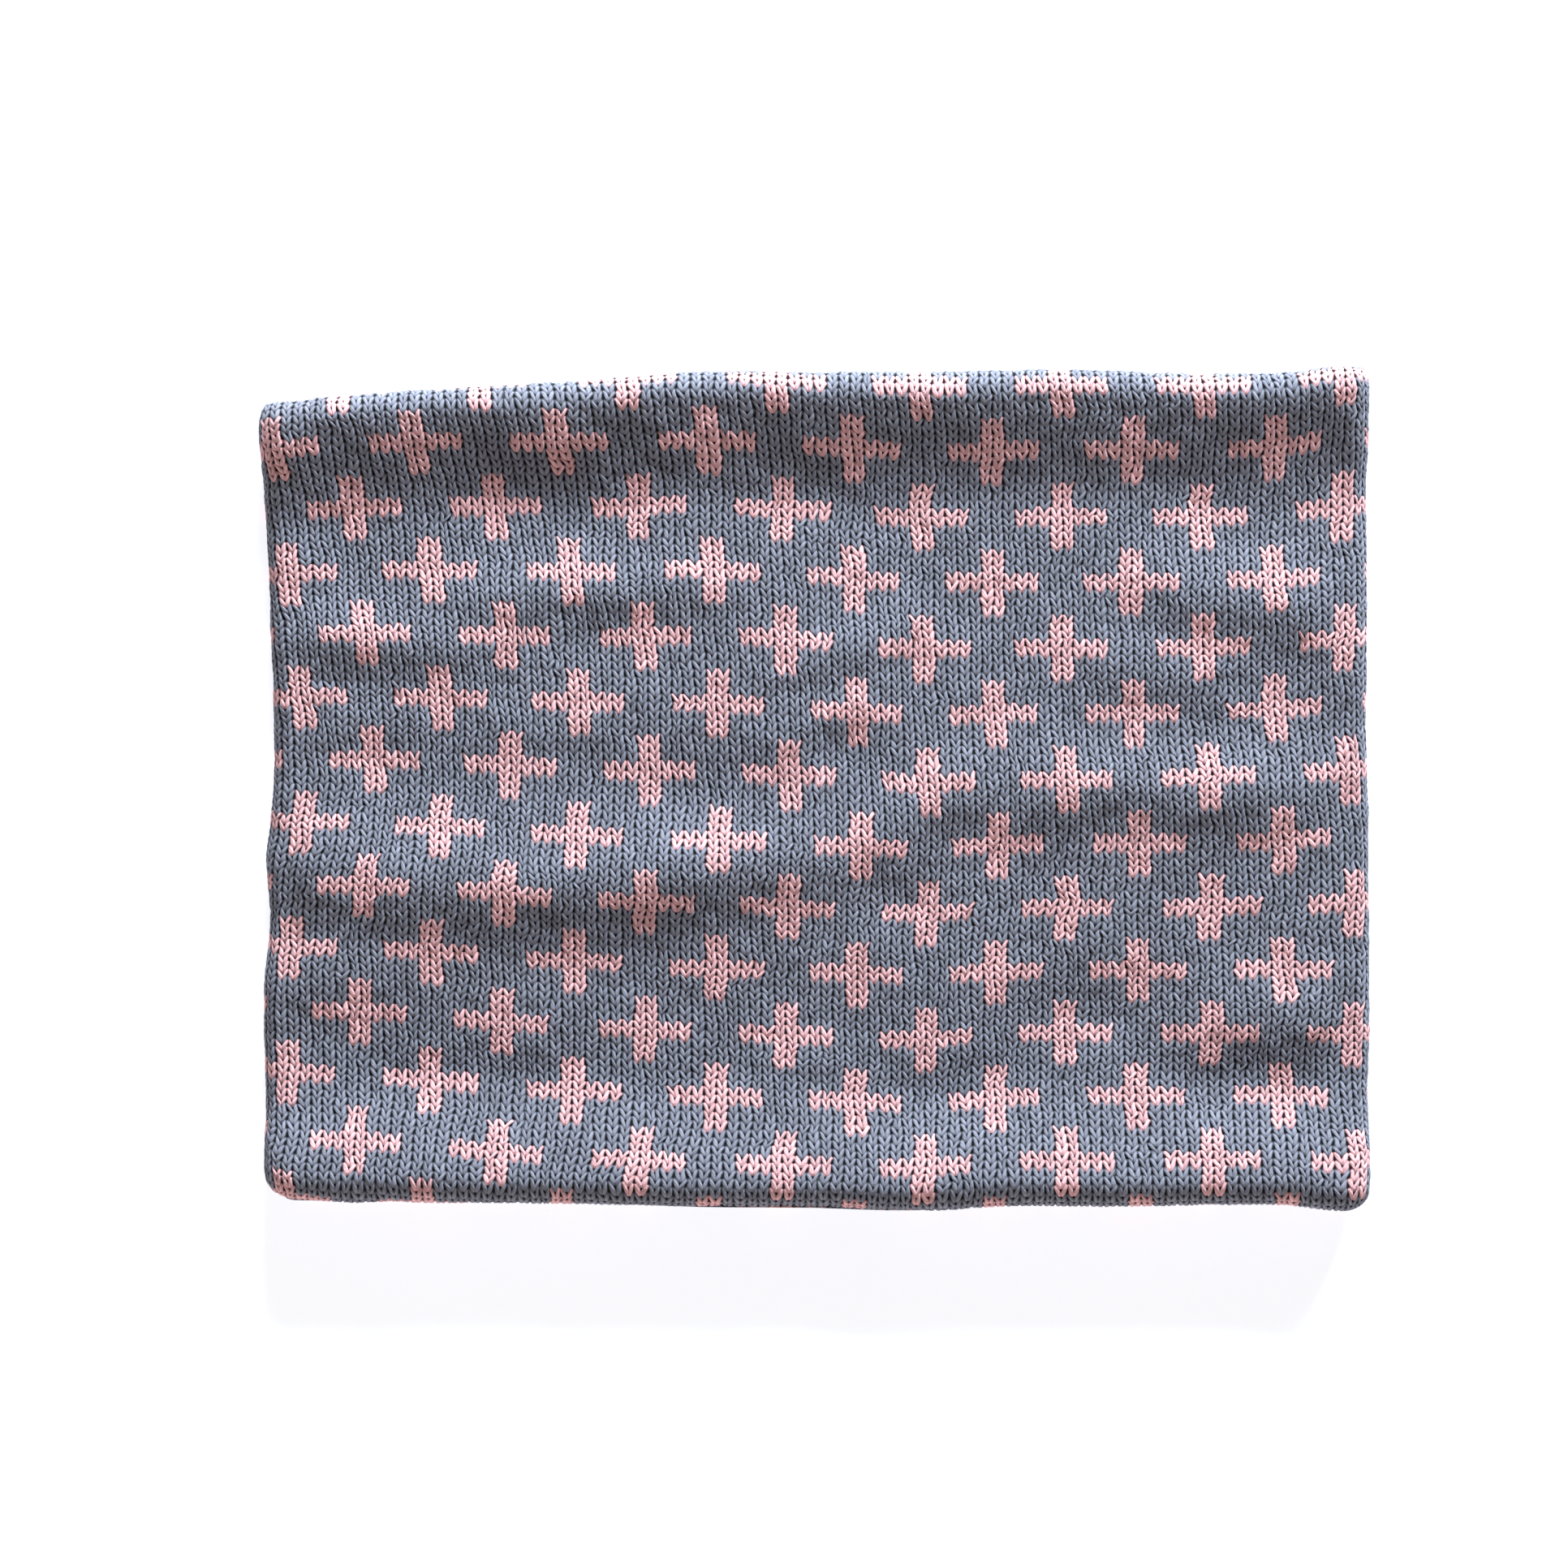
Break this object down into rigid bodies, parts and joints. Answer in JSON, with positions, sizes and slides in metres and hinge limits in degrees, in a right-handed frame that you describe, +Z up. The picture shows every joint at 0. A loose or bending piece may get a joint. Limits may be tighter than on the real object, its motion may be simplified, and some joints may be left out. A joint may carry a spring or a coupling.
{
  "type": "infinity scarf",
  "caption": "Knitted infinity scarf lying flat: a doubled tube with folded edges all round, slate blue-grey with a repeat of small pink plus signs.",
  "frame": {"origin": "on the underside, in the middle of the laid-out loop", "axes": "+Z up from the surface that it lies on, +X along the loop's width, +Y up the loop, along the way that the neck goes through"},
  "size_m": [0.328, 0.2487, 0.0177],
  "materials": {
    "knit": "matte"
  },
  "bodies": {
    "root": {"front_outer": "knit", "front_turned_in": "knit", "back_turned_in": "knit", "back_outer": "knit"}
  },
  "joints": []
}
